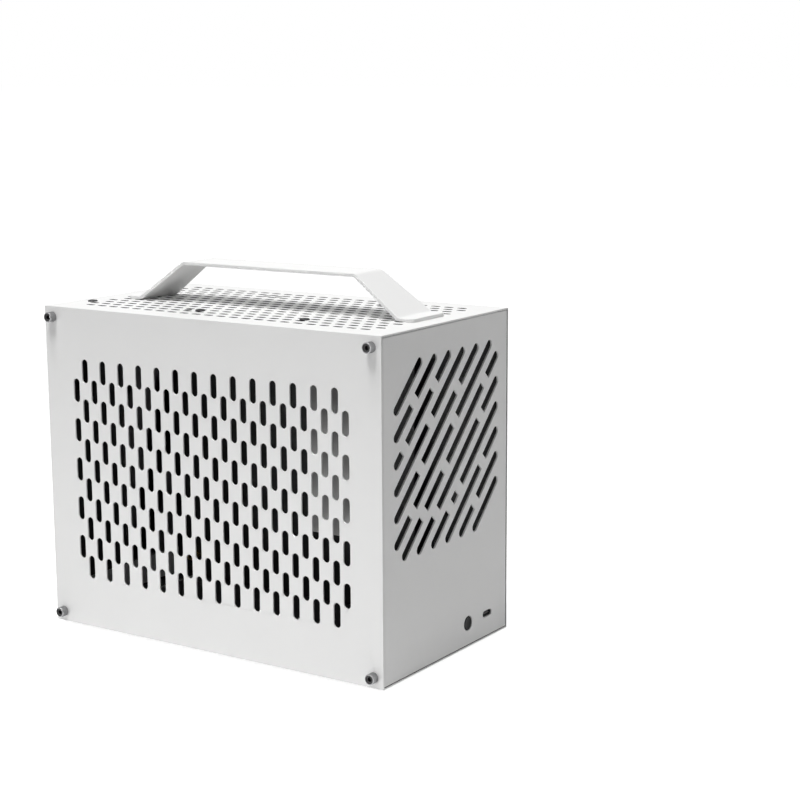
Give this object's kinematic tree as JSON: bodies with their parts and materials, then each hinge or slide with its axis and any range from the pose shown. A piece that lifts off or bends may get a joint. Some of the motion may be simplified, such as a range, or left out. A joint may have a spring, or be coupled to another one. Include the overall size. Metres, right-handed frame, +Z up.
{
  "type": "mini-itx computer case",
  "caption": "Small upright sheet-metal computer case with slotted side, top and front vents, a bent strip carrying handle, a power button and a front port.",
  "frame": {"origin": "on the resting surface, under the middle of the case", "axes": "+X towards the front with the button, -Y towards the slotted side panel, +Z up"},
  "size_m": [0.23, 0.1358, 0.2115],
  "materials": {
    "white_coat": "fine satin white powder coat on folded steel sheet",
    "black_coat": "matt black powder coat on steel sheet",
    "brass": "turned brass",
    "dark_steel": "dark grey steel with knurled sides",
    "plated_steel": "zinc plated steel",
    "port_steel": "plain drawn steel shell",
    "button_cap": "turned and smooth, satin black",
    "black_plastic": "moulded, fine texture",
    "circuit_board": "solder-masked board",
    "rubber": "matt black rubber"
  },
  "bodies": {
    "chassis": {"front_panel": "white_coat", "rear_panel": "white_coat", "top_cover": "white_coat", "bottom_plate": "white_coat", "handle": "white_coat", "psu_bracket": "white_coat", "slot_cover": "white_coat", "motherboard_tray": "black_coat", "standoffs": "brass", "panel_nuts": "plated_steel", "io_shield": "plated_steel", "inlet_pins": "plated_steel", "handle_nuts": "plated_steel", "io_posts": "plated_steel", "io_board_screws": "plated_steel", "slot_cover_screw": "plated_steel", "inlet_screws": "plated_steel", "front_port": "port_steel", "power_switch": "black_plastic", "power_inlet": "black_plastic", "front_io_board": "circuit_board", "feet": "rubber"},
    "left_panel": {"side_panel_left": "white_coat", "panel_screws_left": "dark_steel"},
    "right_panel": {"side_panel_right": "white_coat", "panel_screws_right": "dark_steel"},
    "power_button": {"power_button": "button_cap"}
  },
  "joints": [
    {"name": "left_panel_lift", "type": "slide", "parent": "chassis", "child": "left_panel", "axis": [0, -1, 0], "range_m": [0, 0.06]},
    {"name": "right_panel_lift", "type": "slide", "parent": "chassis", "child": "right_panel", "axis": [0, 1, 0], "range_m": [0, 0.06]},
    {"name": "power_button_press", "type": "slide", "parent": "chassis", "child": "power_button", "axis": [-1, 0, 0], "range_m": [0, 0.0012], "stiffness_N_per_m": 1300}
  ]
}
